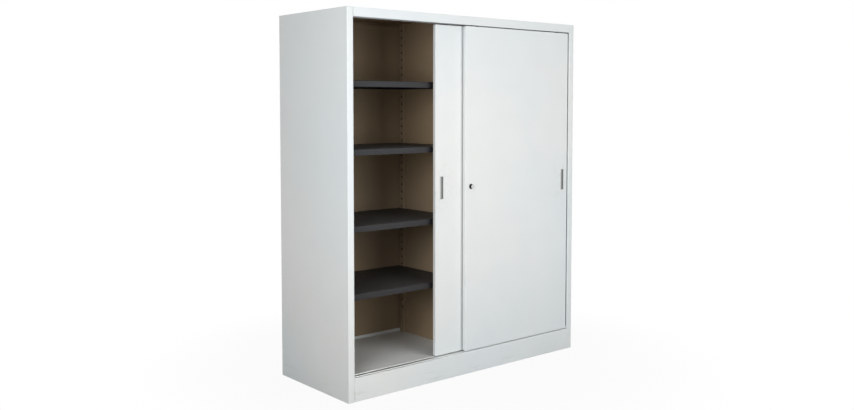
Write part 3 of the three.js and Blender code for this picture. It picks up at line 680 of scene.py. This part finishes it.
def as_object(name, body):
    """The body as an object, smooth except at edges that turn more than SHARP."""
    bmesh.ops.recalc_face_normals(body, faces=body.faces)
    for face in body.faces:
        face.smooth = True
    for edge in body.edges:
        edge.smooth = edge.calc_face_angle(0) < SHARP
    mesh = bpy.data.meshes.new(name)
    body.to_mesh(mesh)
    body.free()
    made = bpy.data.objects.new(name, mesh)
    bpy.context.scene.collection.objects.link(made)
    return made


def from_skin(name, rings, hollow=False):
    body = bmesh.new()
    add_skin(body, rings, hollow)
    return as_object(name, body)


def stands_for(piece, rides_on, slot_name, replaced, material=None):
    """Puts the finer piece in the place of a frame piece, on the same body and in the same slot."""
    piece.data.materials.append(material or finishes[slot_name])
    catch_light(piece, False)
    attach(piece, rides_on)
    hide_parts(replaced)


def corners_of(name):
    """The corners of a frame piece's box, in millimetres."""
    low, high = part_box(name)
    return low / MM, high / MM


# %% [markdown]
# ### Turned pieces
#
# Rollers, axles, buffers and the lock are round: the real ones are turned on a lathe or moulded in a
# round mould. Blender's screw modifier could spin an outline. A profile of radius and length that is
# spun point by point does the same, and the outline can be rounded first. Each sits where its frame
# piece is.

# %% Turned pieces
TO_BACK = Matrix.Rotation(-RIGHT_ANGLE, 4, "X")
TO_SIDE = Matrix.Rotation(RIGHT_ANGLE, 4, "Y")


def turned(name, profile, at, facing, hollow=False):
    moved = Matrix.Translation(at) @ facing
    return from_skin(name, [[moved @ point for point in circle(*pair)] for pair in profile], hollow)


ROLLER = (
    (3.3, -4), (11.4, -4), (12, -3.4), (12, -3), (10, -2),
    (10, 2), (12, 3), (12, 3.4), (11.4, 4), (3.3, 4),
)
AXLE = ((0.5, -8.6), (3, -8.6), (3, 8.6), (0.5, 8.6))
for door in ("door_left", "door_right"):
    for side in ("left", "right"):
        wheel = f"{door}_roller_{side}"
        profile = filleted(ROLLER, 0.4, closed=True)
        piece = turned(wheel + "_fine", profile, middle(wheel) / MM, TO_BACK, hollow=True)
        stands_for(piece, wheel, "nylon", wheel)
        pin = f"{door}_axle_{side}"
        piece = turned(pin + "_fine", filleted(AXLE, 0.6), middle(pin) / MM, TO_BACK)
        stands_for(piece, door, "zinc_plated_steel", pin)

BUFFER_RADIUS = 7
for name in ("buffer_left", "buffer_right"):
    low, high = corners_of(name)
    half = (high.x - low.x) / 2
    outline = ((0.5, -half), (BUFFER_RADIUS, -half), (BUFFER_RADIUS, half), (0.5, half))
    piece = turned(name + "_fine", filleted(outline, 0.6), (low + high) / 2, TO_SIDE)
    stands_for(piece, "root", "rubber", name)
print("turned pieces: 4 rollers, 4 axles, 2 buffers")

# %% [markdown]
# ### The lock
#
# A push lock: a black housing in the door, a plunger that is pushed in, and a core that the key turns.
# The three share one axis, and their lengths run inwards from the door's face. The core's bright face
# covers the plunger's end, so only the plunger's side shows black. The keyway could be drawn on the
# face in the material, but a real slot has depth that catches the light. So it is cut with a cutter,
# which is then thrown away.

# %% Lock
HOUSING = (
    (10.4, -2.2), (13.2, -2.2), (14, -1.4), (14, -0.2), (12.5, -0.2),
    (12.5, 18), (5.4, 18), (5.4, 16.5), (10.4, 16.5),
)
PLUNGER = (
    (0.5, -5.9), (8.3, -5.9), (8.3, -12.2), (9.6, -12.2), (10, -11.8),
    (10, 8), (5, 8), (5, 19.5), (0.5, 19.5),
)
CORE_FACE = -12.8
CORE = ((0.5, -6.2), (8, -6.2), (8, -12.3), (9.4, -12.3), (9.4, CORE_FACE), (0.5, CORE_FACE))
HALF_KEYWAY = Vector((0.8, 4, 4))


def carved(piece, cutters):
    """A new object: the piece less its cutters. The old ones are removed."""
    for cutter in cutters:
        boolean = piece.modifiers.new("cut", "BOOLEAN")
        boolean.object = cutter
        boolean.operation = "DIFFERENCE"
        boolean.solver = "EXACT"
    bpy.context.view_layer.update()
    seen = piece.evaluated_get(bpy.context.evaluated_depsgraph_get())
    body = bmesh.new()
    body.from_mesh(seen.to_mesh())
    name = piece.name
    for used in (piece, *cutters):
        bpy.data.meshes.remove(used.data)
    return as_object(name, body)


def block(low, high, corner):
    """A box with round edges along Y."""
    return from_skin("cutter", [rectangle(low, high, 0, corner, y) for y in (low.y, high.y)])


door_face = corners_of("door_right_pan")[0].y
axis = middle("lock_housing") / MM
axis.y = door_face
outline = filleted(HOUSING, 0.35, closed=True)
housing = turned("lock_housing_fine", outline, axis, TO_BACK, hollow=True)
stands_for(housing, "door_right", "black_plastic", "lock_housing")
plunger = turned("lock_plunger_fine", filleted(PLUNGER, 0.35), axis, TO_BACK)
stands_for(plunger, "lock_plunger", "black_plastic", "lock_plunger")
disc = turned("lock_core_fine", filleted(CORE, 0.2), axis, TO_BACK)
key_at = axis + Vector((0, CORE_FACE, 0))
core = carved(disc, [block(key_at - HALF_KEYWAY, key_at + HALF_KEYWAY, 0.5)])
stands_for(core, "lock_core", "chrome", "lock_core")
print("lock: housing, plunger and core at", [round(place) for place in axis])

# %% [markdown]
# ### The pulls
#
# A pull is a pressed steel cup for the fingers, with a rim that lies on the door's face. A box with a
# bevel could stand for it, but its rim, wall and floor are one sheet. So one section is carried round a
# rectangle with round corners. Each corner of the section is a small curve, because that is where it
# catches the light.

# %% Pulls
PULL_CORNER = 3.5
SMALLEST_PULL_CORNER = 0.8
PULL_SECTION = ((5, 11), (3, 11), (3, -1.2), (0, -1.2), (0, -0.2), (2, -0.2), (2, 12), (5, 12))


def pull_corner(inset):
    return max(PULL_CORNER - inset, SMALLEST_PULL_CORNER)


for door in ("door_left", "door_right"):
    name = door + "_pull"
    low, high = corners_of(name)
    face = corners_of(door + "_pan")[0].y
    section = filleted(PULL_SECTION, 0.9)
    rings = [rectangle(low, high, inset, pull_corner(inset), face + y) for inset, y in section]
    piece = from_skin(name + "_fine", rings)
    stands_for(piece, door, "satin_steel", name)
print("pulls: 2")

# %% [markdown]
# ### The door skins
#
# A door is one sheet of steel, folded back all round into a tray. It could be a box with bevelled
# edges, but a door that stands open shows its thin lip and its hollow back. So its section starts
# inside the face, goes round the lip, and comes back over the outside. Holes are cut for the pull, the
# lock and the rollers.

# %% Door skins
SKIN_SECTION = ((9, 1), (1, 1), (1, 19), (14, 19), (14, 20), (0, 20), (0, 0), (9, 0))
FOLD_RADII = (0, 2, 0.6, 0.2, 0.2, 1.4, 3, 0)
DOOR_CORNER = 6
SMALLEST_DOOR_CORNER = 1.5
PULL_HOLE_INSET = 1.7
LOCK_HOLE = 12.7
HALF_ROLLER_SLOT = Vector((13, 5, 3))
CUT_FROM, CUT_TO = -2, 3


def folded(section, radii, steps=8):
    """A section with an arc at each corner. The arc meets both sides at its radius from the corner."""
    points = [Vector(point) for point in section]
    curved = []
    for index, (corner, radius) in enumerate(zip(points, radii)):
        if not radius:
            curved.append(corner)
            continue
        before = (points[index - 1] - corner).normalized() * radius
        after = (points[index + 1] - corner).normalized() * radius
        centre = corner + before + after
        for angle in quarter(steps):
            curved.append(centre - after * math.cos(angle) - before * math.sin(angle))
    return curved


def skin_corner(inset):
    return max(DOOR_CORNER - inset, SMALLEST_DOOR_CORNER)


for door in ("door_left", "door_right"):
    name = door + "_pan"
    low, high = corners_of(name)
    section = folded(SKIN_SECTION, FOLD_RADII)
    rings = [rectangle(low, high, inset, skin_corner(inset), low.y + y) for inset, y in section]
    plain_skin = from_skin(name + "_fine", rings)
    pull_low, pull_high = corners_of(door + "_pull")
    pull_low.y, pull_high.y = low.y + CUT_FROM, low.y + CUT_TO
    inset = Vector((PULL_HOLE_INSET, 0, PULL_HOLE_INSET))
    cutters = [block(pull_low + inset, pull_high - inset, PULL_CORNER - PULL_HOLE_INSET)]
    if door == "door_right":
        hole = ((LOCK_HOLE, CUT_FROM), (LOCK_HOLE, CUT_TO))
        cutters.append(turned("cutter", hole, axis, TO_BACK))
    for side in ("left", "right"):
        slot_at = middle(f"{door}_roller_{side}") / MM
        slot_at.z = low.z
        cutters.append(block(slot_at - HALF_ROLLER_SLOT, slot_at + HALF_ROLLER_SLOT, 0.5))
    piece = carved(plain_skin, cutters)
    stands_for(piece, door, "carcass_paint", name, door_paint[door])
    print(name, "faces:", len(piece.data.polygons))

# %% [markdown]
# ### The levelling feet
#
# A foot is a pad, a nut and a threaded stem. A thread could be a bump or a stack of rings, but rings
# don't climb. Here its radius rises and falls with height and with the angle round the stem, which
# makes one real helix.

# %% Levelling feet
PAD = ((0.5, 0), (18, 0), (18, 4), (5, 6), (5, 12))
PITCH = 1.5
ROOT_RADIUS = 4.35
STEM_RADIUS = 5
STEM = (5.9, 54.4)
STEM_TIP = (3.75, 55)
RINGS_PER_PITCH = 4
NUT_CUTS = ((0.8, 6), (0, 6.6), (0, 13.4), (0.8, 14))
NUT_ROUND = 9


def thread_ring(z):
    ring = []
    for point in circle(1, z):
        turn = math.atan2(point.y, point.x) / (2 * math.pi)
        along = (z / PITCH - turn) % 1
        crest = 1 - abs(2 * along - 1)
        ends = min(1, (STEM[1] - z) / PITCH)
        radius = ROOT_RADIUS + (STEM_RADIUS - ROOT_RADIUS) * crest * ends
        ring.append(Vector((point.x * radius, point.y * radius, z)))
    return ring


def hexagon(radius, z):
    angles = [math.radians(60 * side) for side in range(6)]
    return [Vector((radius * math.cos(angle), radius * math.sin(angle), z)) for angle in angles]


for place_name in ("front_left", "front_right", "rear_left", "rear_right"):
    name = "levelling_foot_" + place_name
    low, high = corners_of(name)
    base = Vector(((low.x + high.x) / 2, (low.y + high.y) / 2, low.z))
    body = bmesh.new()
    pad = [circle(radius, z) for radius, z in filleted(PAD, 0.8)]
    length = STEM[1] - STEM[0]
    count = round(length / PITCH * RINGS_PER_PITCH)
    stem = [thread_ring(STEM[0] + length * step / count) for step in range(count + 1)]
    stem.append(circle(*STEM_TIP))
    nut = [hexagon(NUT_ROUND - cut, z) for cut, z in NUT_CUTS]
    for rings in (pad, stem, nut):
        add_skin(body, [[base + point for point in ring] for ring in rings])
    piece = as_object(name + "_fine", body)
    stands_for(piece, name, "zinc_plated_steel", name)
print("levelling feet: 4")

# %% [markdown]
# ## The floor
#
# The cupboard stands on plain studio paper. In the photo it is white, which could come from stronger
# lamps, but they would bleach the paint too. So the paper is pale grey, and its white is asked for by
# kind of ray: the camera sees white paper with a faint shadow near the cupboard, and reflections see
# white paper further off.

# %% Floor
FLOOR_SIZE = 60
FLOOR_GAP = 0.0005
SHADOW_SHARE = 0.06
SHADOW_ENDS = 1.8
MIRRORED_WHITE = 0.9
FIBRES = 900.0
FIBRE_CONTRAST = 0.04
PAPER = colour(178, 177, 174)
FIBRE = colour(162, 160, 156)

floor_body = bmesh.new()
bmesh.ops.create_grid(floor_body, x_segments=4, y_segments=4, size=FLOOR_SIZE / 2)
floor = as_object("studio_floor", floor_body)
floor.location.z = frame_low.z - FLOOR_GAP
paper = bpy.data.materials.new("studio paper")
paper.use_nodes = True
paper.node_tree.nodes.clear()
tree = paper.node_tree
fibres = noise(tree, on_object(tree), FIBRES, 3.0)
fibre_shade = mixed(tree, maths(tree, "MULTIPLY", fibres, FIBRE_CONTRAST), PAPER, FIBRE)
dull_paper = node(tree, "ShaderNodeBsdfDiffuse", {"Color": fibre_shade}).outputs[0]
white_paper = node(tree, "ShaderNodeEmission", {"Color": WHITE, "Strength": 1.0}).outputs[0]
light_path = node(tree, "ShaderNodeLightPath").outputs
away = node(tree, "ShaderNodeVectorMath", {0: on_object(tree)}, operation="LENGTH").outputs["Value"]
unshaded = eased(tree, away, SHADOW_ENDS / 2, SHADOW_ENDS, 1 - SHADOW_SHARE, 1.0)
far = eased(tree, away, SHADOW_ENDS, 2 * SHADOW_ENDS, 0.0, MIRRORED_WHITE)
mirrored = maths(tree, "MAXIMUM", light_path["Is Glossy Ray"], light_path["Is Transmission Ray"])
plain_share = maths(tree, "MULTIPLY", light_path["Is Camera Ray"], unshaded)
plain_share = maths(tree, "ADD", plain_share, maths(tree, "MULTIPLY", mirrored, far))
seen_paper = node(tree, "ShaderNodeMixShader", {0: plain_share, 1: dull_paper, 2: white_paper})
node(tree, "ShaderNodeOutputMaterial", {"Surface": seen_paper.outputs[0]})
floor.data.materials.append(paper)
floor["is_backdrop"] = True
print("floor:", FLOOR_SIZE, "m wide, shadow within", SHADOW_ENDS, "m of the middle")

# %% [markdown]
# ## The light
#
# A soft lamp stands on the left and a larger one in front, where the photo's light comes from. Two
# more stand behind and above, for the sides that the photo hides. The lamps' places and powers were
# fitted by comparing shades with the photo, at a level at which a colour renders about as it is
# written. A pale sky fills in the rest. To the camera and in reflections it is white.

# %% Light
SKY = 0.24
world = bpy.data.worlds.new("studio")
bpy.context.scene.world = world
world.use_nodes = True
world.node_tree.nodes.clear()
tree = world.node_tree
path = node(tree, "ShaderNodeLightPath").outputs
seen = maths(tree, "MAXIMUM", path["Is Camera Ray"], path["Is Transmission Ray"])
mirrored = maths(tree, "MULTIPLY", path["Is Glossy Ray"], MIRRORED_WHITE)
seen = maths(tree, "MAXIMUM", seen, mirrored)
strength = eased(tree, seen, 0.0, 1.0, SKY, 1.0)
sky = node(tree, "ShaderNodeBackground", {"Color": WHITE, "Strength": strength})
node(tree, "ShaderNodeOutputWorld", {"Surface": sky.outputs[0]})


def lamp(name, at, aim, size, power):
    data = bpy.data.lights.new(name, "AREA")
    data.shape = "SQUARE"
    data.size = size
    data.energy = power
    made = bpy.data.objects.new(name, data)
    made.location = at
    made.rotation_euler = (Vector(aim) - Vector(at)).to_track_quat("-Z", "Y").to_euler()
    bpy.context.scene.collection.objects.link(made)


lamp("left", (-3.0, -1.82, 1.68), (-0.4, -0.2, 1.1), 1.4, 60)
lamp("front", (0.33, -3.06, 1.6), (0.25, -0.3, 1.1), 2.0, 52)
lamp("behind", (3.3, 2.7, 1.9), (0.3, 0.2, 1.0), 1.8, 105)
lamp("above", (0.0, 0.3, 4.4), (0, 0.1, 1.9), 1.2, 37)
bpy.context.scene.view_settings.view_transform = "Standard"
print("lamps: left, front, behind and above, sky", SKY)

# %% [markdown]
# ## Finish
#
# The finer pieces should fill the same box as the frame. The growth of the final box over the frame's
# is printed.

# %% Finish
final_low, final_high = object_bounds()
growth = [round((a - b) / MM, 3) for a, b in zip(final_high - final_low, frame_high - frame_low)]
print("growth in mm", growth)
